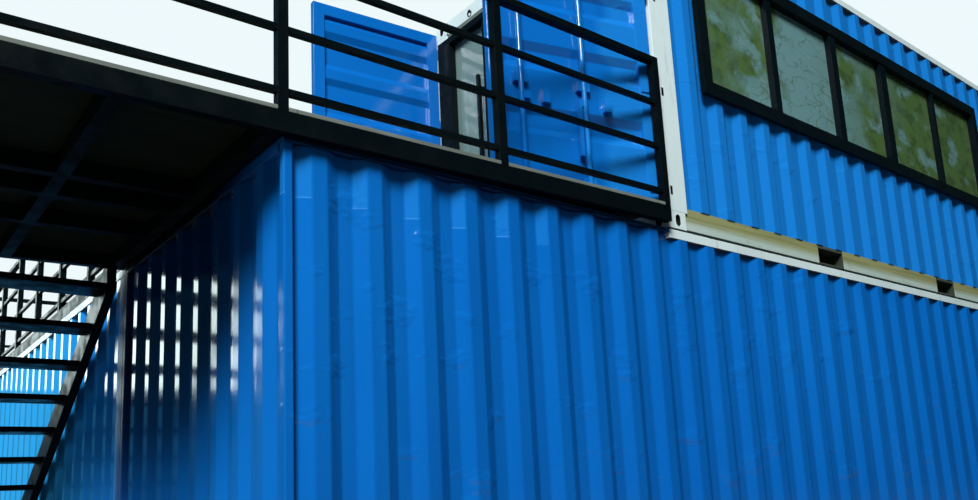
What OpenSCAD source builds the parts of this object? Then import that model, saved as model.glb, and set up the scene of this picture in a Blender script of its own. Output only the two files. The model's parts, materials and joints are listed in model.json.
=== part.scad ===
// Two-storey cabin made of shipping container boxes: a long front block, a wing
// behind its left end, a container on top, a roof terrace with a landing and an
// outside stair. Millimetres, +Z up. The origin is the middle of the base on the
// ground. Sizes below are set out from the front left corner of the lower storey:
// x along the long front wall, y to the back.

/* [Lower storey] */
// Height of one container unit
unit_h = 2591; // [2400:1:2900]
// Width of one container unit
unit_w = 2438; // [2300:1:2500]
// Thickness of a lined wall
wall_t = 90; // [70:1:120]
// Side of the slim corner posts
slim_post = 45; // [40:1:60]
// Side of the box rails round the roofs
rail_s = 60; // [50:1:80]
// Height of the blue rail over the front wall at the terrace
blue_rail_h = 25; // [20:1:60]
// Height of the lower floor frame
base_h = 150; // [120:1:200]

/* [Corrugated sheet] */
// Outer flat of one corrugation
flat_w = 76; // [60:1:90]
// Width of one sloping side
slope_w = 68; // [50:1:80]
// Pitch of the long walls
long_pitch = 288; // [270:1:310]
// Pitch of the end walls
end_pitch = 275; // [250:1:290]
// Depth of the corrugation
sheet_d = 36; // [20:1:40]
// First outer flat of the lower front wall
lower_first = 139; // [120:1:170]
// First outer flat of the end walls
end_first = 220; // [190:1:260]
// First outer flat of the upper container's and the wing's long walls
upper_first = 370; // [330:1:420]

/* [Upper container] */
// Length of the terrace in front of the upper container's doors
terrace_len = 2640; // [2400:1:3000]
// Length of the upper container
unit_len = 6058; // [6058:1:9125]
// Thickness of the bearing plates between the storeys
plate_t = 12; // [8:1:20]
// Width of the door posts seen from the long side
door_post_w = 205; // [180:1:230]
// Depth of the posts seen from the end
post_d = 150; // [120:1:160]
// Width of the posts at the closed end
rear_post_w = 180; // [178:1:200]
// Length of a corner casting
cast_l = 178; // [178:1:190]
// Width of a corner casting
cast_w = 162; // [150:1:170]
// Height of a corner casting
cast_h = 118; // [118:1:130]
// Height of the bottom side rails
side_rail_h = 160; // [155:1:180]
// How far the bottom side rails stand back from the castings
side_rail_in = 12; // [6:1:20]
// Wall of the bottom side rails and the fork pockets
side_rail_t = 6; // [4:1:8]
// Middle distance of the two fork pockets
fork_pitch = 2050; // [1900:1:2100]
// Width of a fork pocket
fork_w = 360; // [350:1:380]
// Height of a fork pocket
fork_h = 115; // [105:1:117]
// Height of the fork pockets above the container's base
fork_z = 20; // [18:1:22]
// Width of the header and the sill at the door end
header_w = 110; // [80:1:120]
// Height of the header over the doors
header_h = 120; // [100:1:140]
// Thickness of the roof panels
roof_t = 50; // [40:1:60]
// Pitch of the roof sheet's corrugation
roof_pitch = 232; // [215:1:260]
// Depth of the roof sheet's corrugation
roof_d = 20; // [10:1:30]

/* [Window band] */
// Left end of the window from the container's door end
win_x = 500; // [400:1:700]
// Distance from the window's right end to the container's closed end
win_right = 690; // [300:1:1200]
// Height of the window sill above the container's base
win_sill = 1056; // [900:1:1200]
// Height of the window
win_h = 1168; // [1000:1:1250]
// Face width of the window frame
win_face = 100; // [60:1:120]
// Part of the face that laps over the sheet round the hole
win_lap = 50; // [20:1:55]
// How far the window frame stands out of the sheet
win_proud = 35; // [20:1:60]
// Depth of the window frame
win_depth = 115; // [80:1:125]
// Distance of the glass behind the frame's face
glass_back = 60; // [20:1:65]
// Thickness of the glass
glass_t = 8; // [4:1:12]

/* [Cargo doors] */
// Width of one door leaf
leaf_w = 1180; // [1100:1:1185]
// Height of one door leaf
leaf_h = 2335; // [2200:1:2340]
// Thickness of the leaf's edge frame
leaf_t = 52; // [40:1:60]
// Width of the leaf's edge frame
stile_w = 100; // [80:1:120]
// Opening angle of the near leaf
near_angle = 75; // [70:1:95]
// Opening angle of the far leaf
far_angle = 96; // [80:1:98]
// Diameter of the hinge pins
pin_d = 30; // [24:1:34]
// Diameter of the lock rods
rod_d = 34; // [25:1:42]
// Gap between the lock rods and the leaf
rod_gap = 12; // [8:1:20]

/* [Glazed end] */
// Face width of the aluminium members
end_face = 60; // [40:1:80]
// Depth of the aluminium members
end_depth = 110; // [80:1:118]
// How far the frame stands out in front of the posts
end_proud = 30; // [28:1:40]
// Width of the frame's jambs, which cover the posts' inner edges
end_jamb = 170; // [150:1:200]
// Height left between the glazed frame and the header, which a strip fills
end_over = 71; // [30:1:200]
// Length of the pull handle
pull_len = 1500; // [600:1:1700]

/* [Terrace and landing] */
// How far the landing's outer end hangs below the lower storey's top
deck_drop = 39; // [0:1:60]
// How much the deck rises from there to its right end
deck_rise = 63; // [0:1:90]
// Height of the deck channels
deck_beam_h = 100; // [80:1:140]
// Flange width of the deck channels
deck_beam_w = 50; // [40:1:70]
// Wall of the deck channels
deck_wall = 6; // [4:1:8]
// Thickness of the deck boards
board_t = 20; // [15:1:30]
// Thickness of the panels under the landing
panel_t = 10; // [6:1:15]
// How far the deck stands out in front of the wall
deck_out = 60; // [55:1:90]
// Length of the landing left of the lower storey
landing_len = 1300; // [1200:1:1500]
// Side of the square columns under the landing
column_s = 80; // [60:1:100]
// Gap between the deck's end and the upper container's posts
deck_end_gap = 40; // [20:1:60]

/* [Railing] */
// Height of the top rail above the deck boards
guard_h = 1000; // [900:1:1100]
// Side of the square posts
guard_post = 50; // [40:1:50]
// Height of the top rail's section
top_rail_h = 40; // [30:1:50]
// Side of the lower rails
low_rail_s = 30; // [20:1:40]
// Rails below the top rail
low_rails = 3; // [2:1:5]
// Left face of the post over the lower storey's corner
corner_post_x = -51; // [-200:1:200]
// Left face of the post on the terrace
mid_post_x = 1210; // [900:1:1500]
// Gap between two railings at a corner
rail_gap = 2; // [1:1:10]
// Where the wing's railing starts
wing_rail_y = 2460; // [2440:1:2600]
// Bays of the wing's railing
wing_bays = 6; // [4:1:10]

/* [Stair] */
// Risers from the ground to the deck
risers = 13; // [12:1:15]
// Going of one tread
going = 350; // [300:1:380]
// Depth of one tread
tread_d = 270; // [240:1:290]
// Thickness of one tread
tread_t = 40; // [30:1:50]
// Height of the stringer's section
stringer_h = 200; // [180:1:240]
// Flange width of the stringers
stringer_w = 60; // [40:1:75]
// Gap between the wall and the nearer stringer
stair_gap = 40; // [30:1:100]

/* [Hidden] */
$fn = 32;
blue = [0.05, 0.36, 0.78];
white = [0.86, 0.88, 0.88];
black = [0.07, 0.08, 0.09];
wood = [0.75, 0.68, 0.52];
olive = [0.70, 0.71, 0.48];
glass = [0.40, 0.47, 0.44];
panel = [0.20, 0.22, 0.20];

// Lower storey
lower_len = terrace_len + unit_len;
lower_d = unit_w + unit_len;
lower_wall_h = unit_h - rail_s - base_h;

// Deck
deck_y0 = -deck_out;
deck_y1 = unit_w + deck_out;
deck_x1 = terrace_len - deck_end_gap;
deck_slope = deck_rise / (deck_x1 + landing_len);
board_top = deck_beam_h + board_t;
deck_top = unit_h - deck_drop + landing_len / 2 * deck_slope + board_top;

// Stair
rise = deck_top / risers;
stair_slope = rise / going;
stair_end = deck_y1 + (risers - 1) * going;
stringer_v = stringer_h * sqrt(1 + pow(stair_slope, 2));
tread_drop = tread_d * stair_slope;
stringer_up = tread_drop / 2 - tread_t / 2 + stringer_v / 2;

// Clearance between pieces that are welded up side by side
seat = 0.3;

// The footprint's middle
site_x = (lower_len - landing_len) / 2;
site_y = (lower_d + deck_y0) / 2;

// Upper container
upper_z = unit_h + plate_t;
sheet_in = 4;
upper_wall_h = unit_h - rail_s - side_rail_h;
fork_x = [unit_len / 2 - fork_pitch / 2, unit_len / 2 + fork_pitch / 2];
fork_out = fork_w + 2 * side_rail_t;
fork_len = unit_w - 2 * side_rail_in;
fork_top = fork_z + fork_h + side_rail_t;
rail_len = unit_len - 2 * cast_l;
header_x = 8;
end_h = unit_h - header_h - side_rail_h - end_over;
inner_x0 = header_x + header_w;
inner_x1 = unit_len - rail_s;
win_len = unit_len - win_x - win_right;
win_top = win_sill + win_h;
pin_out = pin_d / 2;

// Everything is set out from the front left corner and moved to the origin once.
module site() translate([-site_x, -site_y, 0]) children();

// Corners of one run of corrugation: outer flats at depth 0, inner flats at depth sheet_d.
function waves(from, to, first, pitch) = let(
    start = first - pitch * floor((first - slope_w - from) / pitch),
    count = floor((to - slope_w - flat_w - start) / pitch) + 1)
    [for (i = [0:count - 1]) let(x = start + i * pitch)
        each [[x - slope_w, sheet_d], [x, 0], [x + flat_w, 0], [x + flat_w + slope_w, sheet_d]]];

// Plan of a lined wall: the sheet outside, a flat lining inside, and a tongue at
// each end that closes the corner behind a slim post.
function wall_plan(from, to, first, pitch, tongue) = concat(
    [[from, sheet_d]], waves(from, to, first, pitch), [[to, sheet_d]],
    tongue > 0 ? [[to, slim_post], [to - tongue, slim_post], [to - tongue, wall_t],
        [from + tongue, wall_t], [from + tongue, slim_post], [from, slim_post]]
        : [[to, wall_t], [from, wall_t]]);

module long_wall(from, to, first, height) linear_extrude(height)
    polygon(wall_plan(from, to, first, long_pitch, 0));

module end_wall(from, to, height, tongue) linear_extrude(height)
    polygon(wall_plan(from, to, end_first, end_pitch, tongue));

module block(size, at) translate(at) cube(size);

// The wing's own directions: x along it from the front block, y in from its left side.
module in_wing() translate([0, unit_w, 0]) mirror([1, -1, 0]) children();

module in_upper() translate([terrace_len, 0, upper_z]) children();

// Puts a piece on the front side and its mirror image on the back side.
module both_sides() for (y = [0, 1])
    translate([0, y * unit_w, 0]) mirror([0, y, 0]) children();

// Height of the deck's underside at x.
function deck_at(x) = unit_h - deck_drop + (x + landing_len) * deck_slope;

// A prism that follows the deck's slope, between two heights above its underside.
module sloped(x0, x1, low, high, y0, y1) translate([0, y1, 0]) rotate([90, 0, 0])
    linear_extrude(y1 - y0) polygon([[x0, deck_at(x0) + low], [x1, deck_at(x1) + low],
        [x1, deck_at(x1) + high], [x0, deck_at(x0) + high]]);

// A beam that lies on the roof and fills the height up to the boards.
module on_roof(x0, x1, y0, y1) translate([0, y1, 0]) rotate([90, 0, 0])
    linear_extrude(y1 - y0) polygon([[x0, unit_h], [x1, unit_h],
        [x1, deck_at(x1) + deck_beam_h], [x0, deck_at(x0) + deck_beam_h]]);

// A channel beam along x, open to +y.
module channel_x(length, height, width, wall) rotate([90, 0, 90]) linear_extrude(length)
    polygon([[0, 0], [width, 0], [width, wall], [wall, wall], [wall, height - wall],
        [width, height - wall], [width, height], [0, height]]);

/* Lower storey */

module lower_floor_frame() site() color(blue) {
    block([lower_len, unit_w, base_h], [0, 0, 0]);
    in_wing() block([unit_len - seat, unit_w, base_h], [seat, 0, 0]);
}

module lower_long_wall() translate([0, 0, base_h])
    long_wall(slim_post, lower_len - slim_post, lower_first, lower_wall_h);

// At the terrace the front sheet runs up to the lower blue rail.
module lower_front_wall() site() color(blue) {
    lower_long_wall();
    translate([0, 0, unit_h - rail_s]) intersection() {
        long_wall(slim_post, lower_len - slim_post, lower_first, rail_s - blue_rail_h);
        block([terrace_len - seat, rail_s - seat, rail_s], [0, 0, 0]);
    }
}

module lower_rear_wall() site() color(blue)
    translate([0, unit_w, 0]) mirror([0, 1, 0]) lower_long_wall();

module lower_end_wall() translate([0, 0, base_h]) mirror([1, -1, 0])
    end_wall(slim_post, unit_w - slim_post, lower_wall_h, wall_t - slim_post);

module lower_end_walls() site() color(blue) {
    lower_end_wall();
    translate([lower_len, 0, 0]) mirror([1, 0, 0]) lower_end_wall();
}

module lower_corner_posts() site() color(blue) {
    for (x = [0, lower_len - slim_post])
        for (y = [0, unit_w - slim_post])
            block([slim_post, slim_post, lower_wall_h], [x, y, base_h]);
    block([slim_post, slim_post, rail_s - blue_rail_h], [0, 0, unit_h - rail_s]);
}

// Box rails on top of the walls, blue at the terrace, the back and the ends.
module lower_blue_rails() site() color(blue) translate([0, 0, unit_h - rail_s]) {
    block([terrace_len, rail_s, blue_rail_h], [0, 0, rail_s - blue_rail_h]);
    block([lower_len, rail_s, rail_s], [0, unit_w - rail_s, 0]);
    for (x = [0, lower_len - rail_s])
        block([rail_s, unit_w - 2 * rail_s - 2 * seat, rail_s], [x, rail_s + seat, 0]);
}

module lower_white_rail() site() color(white)
    block([unit_len, rail_s, rail_s], [terrace_len, 0, unit_h - rail_s]);

module flat_roof(length) block([length - 2 * rail_s, unit_w - 2 * rail_s, rail_s],
    [rail_s, rail_s, unit_h - rail_s]);

module lower_roofs() site() color(blue) {
    flat_roof(lower_len);
    in_wing() flat_roof(unit_len);
}

/* Wing */

// Two corrugated side walls and the closed end.
module wing_walls() site() in_wing() color(blue) {
    both_sides() translate([0, sheet_in, base_h])
        long_wall(door_post_w, unit_len - rear_post_w, upper_first, lower_wall_h);
    translate([unit_len - sheet_in, 0, base_h]) rotate([0, 0, 90])
        end_wall(cast_w, unit_w - cast_w, lower_wall_h, 0);
}

module wing_posts() site() in_wing() color(blue) both_sides() {
    block([door_post_w, post_d, lower_wall_h], [0, 0, base_h]);
    block([rear_post_w, cast_w, lower_wall_h], [unit_len - rear_post_w, 0, base_h]);
}

module wing_top_rails() site() in_wing() color(white) {
    both_sides() block([unit_len, rail_s, rail_s], [0, 0, unit_h - rail_s]);
    for (x = [0, unit_len - rail_s])
        block([rail_s, unit_w - 2 * rail_s - 2 * seat, rail_s],
            [x, rail_s + seat, unit_h - rail_s]);
}

/* Upper container */

// Plates under the bottom castings, a little smaller than the castings.
module bearing_plates() site() in_upper() color(black)
    for (x = [10, unit_len - cast_l + 10])
        both_sides() block([cast_l - 20, cast_w - 20, plate_t], [x, 10, -plate_t]);

// An oval hole, long side upright.
module oval(height, width, depth) linear_extrude(depth) union() {
    square([width, height - width], center = true);
    for (s = [-1, 1])
        translate([0, s * (height - width) / 2]) circle(d = width);
}

hole_h = 79;
hole_w = 51;
hole_deep = 41;
hole_shift = 12;

// One corner casting with an oval hole in its long side and one in its end.
module casting() difference() {
    cube([cast_l, cast_w, cast_h]);
    translate([cast_l / 2 + hole_shift, -1, cast_h / 2]) rotate([-90, 0, 0])
        oval(hole_h, hole_w, hole_deep);
    translate([-1, cast_w / 2, cast_h / 2]) rotate([90, 0, 90])
        oval(hole_h, hole_w, hole_deep);
}

module at_corners(height) for (x = [0, 1])
    for (y = [0, 1])
        translate([x * unit_len, y * unit_w, height])
            mirror([x, 0, 0]) mirror([0, y, 0]) children();

module upper_castings() site() in_upper() color(white) {
    at_corners(0) casting();
    at_corners(unit_h - cast_h) casting();
}

module upper_posts() site() in_upper() color(white) both_sides() {
    post_h = unit_h - 2 * cast_h;
    block([door_post_w, post_d, post_h], [0, 0, cast_h]);
    block([rear_post_w, cast_w, post_h], [unit_len - rear_post_w, 0, cast_h]);
}

// Bottom side rails, in lengths between the castings and the fork pockets.
module upper_bottom_rails() site() in_upper() color(olive) {
    ends = concat([cast_l],
        [for (x = fork_x) each [x - fork_out / 2 - seat, x + fork_out / 2 + seat]],
        [unit_len - cast_l]);
    both_sides() for (i = [0:2:len(ends) - 2])
        translate([ends[i], side_rail_in, 0])
            channel_x(ends[i + 1] - ends[i], side_rail_h, rail_s, side_rail_t);
}

// Each fork pocket: plates above and below, webs at its sides, and a block over
// each mouth that carries the side rail across.
module fork_pockets() site() in_upper() color(olive) for (x = fork_x)
    translate([x - fork_out / 2, 0, 0]) {
        for (z = [fork_z - side_rail_t, fork_z + fork_h])
            block([fork_out, fork_len, side_rail_t], [0, side_rail_in, z]);
        for (web = [0, fork_out - side_rail_t])
            block([side_rail_t, fork_len, fork_h - 2 * seat], [web, side_rail_in, fork_z + seat]);
        both_sides() block([fork_out, rail_s, side_rail_h - fork_top - seat],
            [0, side_rail_in, fork_top + seat]);
    }

// Top side rails, header and sill at the door end, rails at the closed end.
module upper_rails() site() in_upper() color(white) {
    span = unit_w - 2 * cast_w;
    both_sides() block([rail_len, rail_s, rail_s], [cast_l, 0, unit_h - rail_s]);
    block([header_w, span, header_h], [header_x, cast_w, unit_h - header_h]);
    block([header_w, span, side_rail_h], [header_x, cast_w, 0]);
    block([rail_s, span, rail_s], [inner_x1, cast_w, unit_h - rail_s]);
    block([rail_s, span, side_rail_h], [inner_x1, cast_w, 0]);
}

// The floor's slab between the end rails, cut out round the posts.
module upper_floor() site() in_upper() color(wood) {
    side = side_rail_in + rail_s;
    corner_x1 = unit_len - rear_post_w;
    block([corner_x1 - door_post_w, unit_w - 2 * side, side_rail_h - fork_top],
        [door_post_w, side, fork_top]);
    block([inner_x1 - inner_x0, unit_w - 2 * cast_w, side_rail_h - fork_top],
        [inner_x0, cast_w, fork_top]);
}

// The roof: a flat lining under a sheet with corrugations across it.
module upper_roof() site() in_upper() color(white) {
    sheet_z = unit_h - rail_s + roof_t;
    x1 = unit_len - cast_l;
    translate([0, unit_w - rail_s, 0]) rotate([90, 0, 0])
        linear_extrude(unit_w - 2 * rail_s) polygon(concat(
            [[cast_l, unit_h - rail_s], [cast_l, sheet_z - roof_d]],
            [for (w = waves(cast_l, x1, cast_l + roof_pitch / 2, roof_pitch))
                [w[0], sheet_z - w[1] * roof_d / sheet_d]],
            [[x1, sheet_z - roof_d], [x1, unit_h - rail_s]]));
    for (x = [[inner_x0, cast_l], [x1, inner_x1]])
        block([x[1] - x[0], unit_w - 2 * cast_w, roof_t - roof_d],
            [x[0], cast_w, unit_h - rail_s]);
}

module upper_long_wall() translate([0, sheet_in, side_rail_h])
    long_wall(door_post_w, unit_len - rear_post_w, upper_first, upper_wall_h);

// A part of the window side's wall between two x and two z values.
module window_wall(x0, x1, z0, z1) site() in_upper() color(blue) intersection() {
    upper_long_wall();
    block([x1 - x0, wall_t * 2, z1 - z0], [x0, -wall_t / 2, z0]);
}

module wall_below_window() window_wall(0, unit_len, 0, win_sill + win_lap);

module wall_above_window() window_wall(0, unit_len, win_top - win_lap, unit_h);

module walls_beside_window() {
    window_wall(0, win_x + win_lap, win_sill + win_lap, win_top - win_lap);
    window_wall(win_x + win_len - win_lap, unit_len, win_sill + win_lap, win_top - win_lap);
}

module upper_rear_wall() site() in_upper() color(blue)
    translate([0, unit_w, 0]) mirror([0, 1, 0]) upper_long_wall();

module upper_right_wall() site() in_upper() color(blue)
    translate([unit_len - sheet_in, 0, side_rail_h]) rotate([0, 0, 90])
        end_wall(cast_w, unit_w - cast_w, upper_wall_h, 0);

/* Window */

// Left edges and face widths of the four mullions, from the frame's left end.
mullions = [[922, 75], [1883, 90], [2762, 110], [3811, 45]];

module window_frame() site() in_upper() color(black)
    translate([win_x, sheet_in - win_proud, win_sill]) {
        difference() {
            union() {
                cube([win_len, win_proud, win_h]);
                block([win_len - 2 * win_lap, win_depth, win_h - 2 * win_lap],
                    [win_lap, 0, win_lap]);
            }
            block([win_len - 2 * win_face, win_depth * 3, win_h - 2 * win_face],
                [win_face, -win_depth, win_face]);
        }
        for (m = mullions)
            block([m[1], win_depth - 20, win_h - 2 * win_face + 2], [m[0], 10, win_face - 1]);
    }

pane_edges = concat([win_face], [for (m = mullions) each [m[0], m[0] + m[1]]],
    [win_len - win_face]);

module window_glass() site() in_upper() color(glass)
    translate([win_x, sheet_in - win_proud + glass_back, win_sill + win_face])
        for (i = [0:len(mullions)])
            block([pane_edges[2 * i + 1] - pane_edges[2 * i], glass_t, win_h - 2 * win_face],
                [pane_edges[2 * i], 0, 0]);

/* Cargo doors */

leaf_z = side_rail_h + 6;
pin_in = 22;
groove_n = 5;
panel_in = 6;

// One leaf with its hinge axis at the origin, reaching to -x, outer face to -y.
module leaf() translate([-pin_out, -leaf_t / 2, 0]) {
    panel_w = leaf_w - 2 * stile_w;
    panel_h = leaf_h - 2 * stile_w;
    step = panel_h / groove_n;
    deep = sheet_d * 0.8;
    difference() {
        block([leaf_w, leaf_t, leaf_h], [-leaf_w, 0, 0]);
        block([panel_w, leaf_t * 3, panel_h], [stile_w - leaf_w, -leaf_t, stile_w]);
    }
    // The pressed panel: flat bands with grooves across the leaf.
    translate([stile_w - leaf_w, panel_in, stile_w]) rotate([90, 0, 90])
        linear_extrude(panel_w) polygon(concat(
            [[0, 0]],
            [for (i = [0:groove_n - 1]) each [for (p = [[0, 0.56], [deep, 0.68],
                [deep, 0.88], [0, 1]]) [p[0], (i + p[1]) * step]]],
            [for (i = [groove_n - 1:-1:0]) each [for (p = [[0, 1], [deep, 0.88],
                [deep, 0.68], [0, 0.56]]) [p[0] + 3, (i + p[1]) * step]]],
            [[3, 0]]));
}

module near_place() translate([-pin_out, pin_in, leaf_z])
    rotate([0, 0, near_angle - 90]) children();

module far_place() translate([-pin_out, unit_w - pin_in, leaf_z])
    rotate([0, 0, 90 - far_angle]) mirror([0, 1, 0]) children();

module near_door_leaf() site() in_upper() color(blue) near_place() leaf();

module far_door_leaf() site() in_upper() color(blue) far_place() leaf();

rod_x = [-562, -1000];
rod_y = -leaf_t / 2 - rod_gap - rod_d / 2;
guide_w = 90;
guide_h = 60;
guide_inset = 20;
lever_x = [-42, 52];
lever_w = 26;
lever_z = 568;
lever_l = 350;
hub_h = 50;
keeper_x = 172;
keeper_w = 50;
keeper_h = 90;
keeper_t = 24;

// A block on the leaf's panel, from the depth of the rods in to the panel.
module on_panel(width, height, x, z) block([width,
    rod_gap + rod_d / 2 + panel_in - seat, height], [x - width / 2, rod_y, z]);

// Lock rods with guides, a lever or its hub beside each, and the levers' keepers.
module lock_gear() for (i = [0, 1]) translate([rod_x[i], 0, 0]) {
    translate([0, rod_y, -guide_inset]) cylinder(d = rod_d, h = leaf_h + 2 * guide_inset);
    for (z = [guide_inset, leaf_h - guide_h - guide_inset])
        block([guide_w, rod_gap + rod_d / 2 - seat, guide_h], [-guide_w / 2, rod_y, z]);
    for (k = [1, 3])
        on_panel(guide_w, guide_h, 0, stile_w + (leaf_h - 2 * stile_w) * (k + 0.3) / groove_n);
    block([abs(lever_x[i]), lever_w, hub_h],
        [min(lever_x[i], 0), rod_y - lever_w / 2, lever_z - hub_h / 2]);
    if (i == 0)
        block([lever_w, lever_w, lever_l],
            [lever_x[i] - lever_w / 2, rod_y - lever_w / 2, lever_z - lever_l]);
    on_panel(keeper_w, keeper_h, keeper_x, lever_z - hub_h / 2);
}

module near_lock_gear() site() in_upper() color(blue) near_place() lock_gear();

module far_lock_gear() site() in_upper() color(blue) far_place() lock_gear();

hinge_n = 4;
hinge_low = 92;
hinge_pitch = 690;
hinge_h = 90;
blade_l = 110;
blade_t = 8;

// Pins in front of the posts, with a blade on the outer face of the leaf.
module hinges() for (i = [0:hinge_n - 1])
    translate([0, 0, hinge_low + i * hinge_pitch]) {
        blade_y = -leaf_t / 2 - seat - blade_t;
        translate([0, 0, -hinge_h / 2]) cylinder(d = pin_d - 2 * seat, h = hinge_h);
        block([blade_l, blade_t, hinge_h], [-blade_l, blade_y, -hinge_h / 2]);
        block([pin_out - seat, -blade_y, hinge_h], [seat - pin_out, blade_y, -hinge_h / 2]);
    }

module door_hinges() site() in_upper() color(blue) {
    near_place() hinges();
    far_place() hinges();
}

/* Glazed end */

end_y0 = 52;
end_y1 = unit_w - end_y0;
end_mullions = [620, 1700];
glass_in = end_proud + 40;

// Jambs in front of the posts, a deeper frame between the posts, and two mullions.
module end_frame() site() in_upper() color(black) translate([-end_proud, 0, side_rail_h]) {
    difference() {
        union() {
            block([end_proud - seat, end_y1 - end_y0, end_h], [0, end_y0, 0]);
            block([end_depth, unit_w - 2 * post_d - 2 * seat, end_h], [0, post_d + seat, 0]);
        }
        block([end_depth * 3, end_y1 - end_y0 - 2 * end_jamb, end_h - 2 * end_face],
            [-end_depth, end_y0 + end_jamb, end_face]);
    }
    for (y = end_mullions)
        block([end_depth - 20, end_face, end_h - 2 * end_face + 2], [10, y, end_face - 1]);
}

end_edges = concat([end_y0 + end_jamb], [for (y = end_mullions) each [y, y + end_face]],
    [end_y1 - end_jamb]);

module end_glass() site() in_upper() color(glass)
    translate([glass_in - end_proud, 0, side_rail_h + end_face])
        for (i = [0:len(end_mullions)])
            block([glass_t, end_edges[2 * i + 1] - end_edges[2 * i], end_h - 2 * end_face],
                [0, end_edges[2 * i], 0]);

// A strip that closes the gap between the frame and the header.
module end_head_strip() site() in_upper() color(olive)
    block([end_face, unit_w - 2 * cast_w - 2 * seat, end_over - 2 * seat],
        [header_x + seat, cast_w + seat, side_rail_h + end_h + seat]);

pull_s = 30;
pull_out = 80;
pull_z = 180;
pull_y = 1775;
pull_arm_in = 100;

// A long pull handle on two short arms, bolted to the glass.
module end_pull_handle() site() in_upper() color(black)
    translate([glass_in - end_proud - seat, pull_y, side_rail_h + pull_z]) {
        block([pull_s, pull_s, pull_len], [-pull_out - pull_s, 0, 0]);
        for (z = [pull_arm_in, pull_len - pull_arm_in - pull_s])
            block([pull_out + 1, pull_s, pull_s], [-pull_out - 1, 0, z]);
    }

/* Deck */

module deck_front_channel() site() color(black) {
    x1 = deck_x1 - guard_post;
    sloped(-landing_len, x1, 0, deck_beam_h, deck_y0, deck_y0 + deck_wall);
    for (low = [0, deck_beam_h - deck_wall])
        sloped(-landing_len, x1, low, low + deck_wall, deck_y0, deck_y0 + deck_beam_w);
}

joist_w = 65;
wall_joist_gap = 25;
wall_joist_x = -wall_joist_gap - joist_w;
mid_joist_x = -735;
cross_w = 60;
cross_ys = [895, 1200, 1690];
roof_joist_x = 300;
roof_joist_pitch = 600;

// Landing frame, and beams and joists on the roofs of the front block and the wing.
module deck_frame() site() color(black) {
    y0 = deck_y0 + deck_beam_w;
    y1 = deck_y1 - deck_beam_w;
    wing_y = deck_y1 + seat;
    sloped(-landing_len, -seat, 0, deck_beam_h, y1, deck_y1);
    sloped(-landing_len, deck_beam_w - landing_len, 0, deck_beam_h, y0, y1);
    for (x = [mid_joist_x, wall_joist_x])
        sloped(x, x + joist_w, 0, deck_beam_h, y0, y1);
    for (y = cross_ys)
        sloped(deck_beam_w - landing_len, wall_joist_x, 0, deck_beam_h, y, y + cross_w);
    on_roof(0, deck_x1, y1, deck_y1);
    for (x = [roof_joist_x:roof_joist_pitch:deck_x1 - roof_joist_pitch / 2])
        on_roof(x, x + deck_beam_w, y0, y1);
    for (x = [0, unit_w - deck_beam_w])
        on_roof(x, x + deck_beam_w, wing_y, lower_d);
    for (y = concat([for (y = [wing_y:roof_joist_pitch:lower_d - roof_joist_pitch / 2]) y],
        [lower_d - deck_beam_w]))
        on_roof(0, unit_w, y, y + deck_beam_w);
}

front_posts = [-landing_len, corner_post_x, mid_post_x, deck_x1 - guard_post];

// The boards, cut out round the front posts, which stand on the channel.
module deck_boards() site() color(wood) {
    difference() {
        sloped(-landing_len, deck_x1, deck_beam_h, board_top, deck_y0, deck_y1);
        for (x = front_posts)
            block([guard_post + 2 * seat, guard_post + 2 * seat, deck_beam_h * 3],
                [x - seat, deck_y0 - seat, unit_h - deck_beam_h]);
    }
    sloped(0, unit_w, deck_beam_h, board_top, deck_y1 + seat, lower_d);
}

panel_bays = [[-landing_len + deck_beam_w, mid_joist_x],
    [mid_joist_x + joist_w, wall_joist_x]];
panel_starts = concat([deck_y0 + deck_beam_w], [for (y = cross_ys) y + cross_w]);
panel_ends = concat(cross_ys, [deck_y1 - deck_beam_w]);
panel_gap = 1;

// Panels under the boards, one in each bay of the landing frame.
module landing_panels() site() color(panel)
    for (i = [0:len(panel_ends) - 1])
        for (bay = panel_bays)
            sloped(bay[0] + panel_gap, bay[1] - panel_gap, deck_beam_h - panel_t,
                deck_beam_h, panel_starts[i] + panel_gap, panel_ends[i] - panel_gap);

module landing_columns() site() color(black)
    for (y = [deck_y0, deck_y1 - column_s])
        block([column_s, column_s, deck_at(-landing_len)], [-landing_len, y, 0]);

/* Railings */

low_rail_step = 0.302;
low_rail_tops = [for (i = [1:low_rails]) guard_h * (1 - i * low_rail_step)];

// One level run of railing along x, standing on z = 0, from the first to the last post.
module railing(posts) {
    x0 = posts[0];
    x1 = posts[len(posts) - 1];
    for (x = posts)
        block([guard_post, guard_post, guard_h - top_rail_h], [x, 0, 0]);
    block([x1 - x0 + guard_post, guard_post, top_rail_h], [x0, 0, guard_h - top_rail_h]);
    for (z = low_rail_tops)
        block([x1 - x0, low_rail_s, low_rail_s],
            [x0 + 1, (guard_post - low_rail_s) / 2, z - low_rail_s]);
}

// The same along the deck's slope, with the posts' feet at given heights.
module sloped_railing(posts, y, feet) {
    x0 = posts[0];
    x1 = posts[len(posts) - 1];
    rail_y = y + (guard_post - low_rail_s) / 2;
    rail_top = board_top + guard_h;
    for (i = [0:len(posts) - 1])
        sloped(posts[i], posts[i] + guard_post, feet[i], rail_top - top_rail_h / 2, y,
            y + guard_post);
    sloped(x0, x1 + guard_post, rail_top - top_rail_h, rail_top, y, y + guard_post);
    for (z = low_rail_tops)
        sloped(x0 + 1, x1 + 1, board_top + z - low_rail_s, board_top + z, rail_y,
            rail_y + low_rail_s);
}

landing_run = deck_y1 - deck_y0 - 2 * guard_post - 2 * rail_gap;
wing_run = lower_d - guard_post - wing_rail_y;

// The front railing stands on the channel; its last post runs down past the end of it.
module front_railing() site() color(black) sloped_railing(front_posts, deck_y0,
    [deck_beam_h, deck_beam_h, deck_beam_h, 0]);

// A level railing along y, with its outer faces at x.
module side_railing(x, y, posts) translate([x, y, deck_at(x) + board_top])
    rotate([0, 0, 90]) railing(posts);

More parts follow.
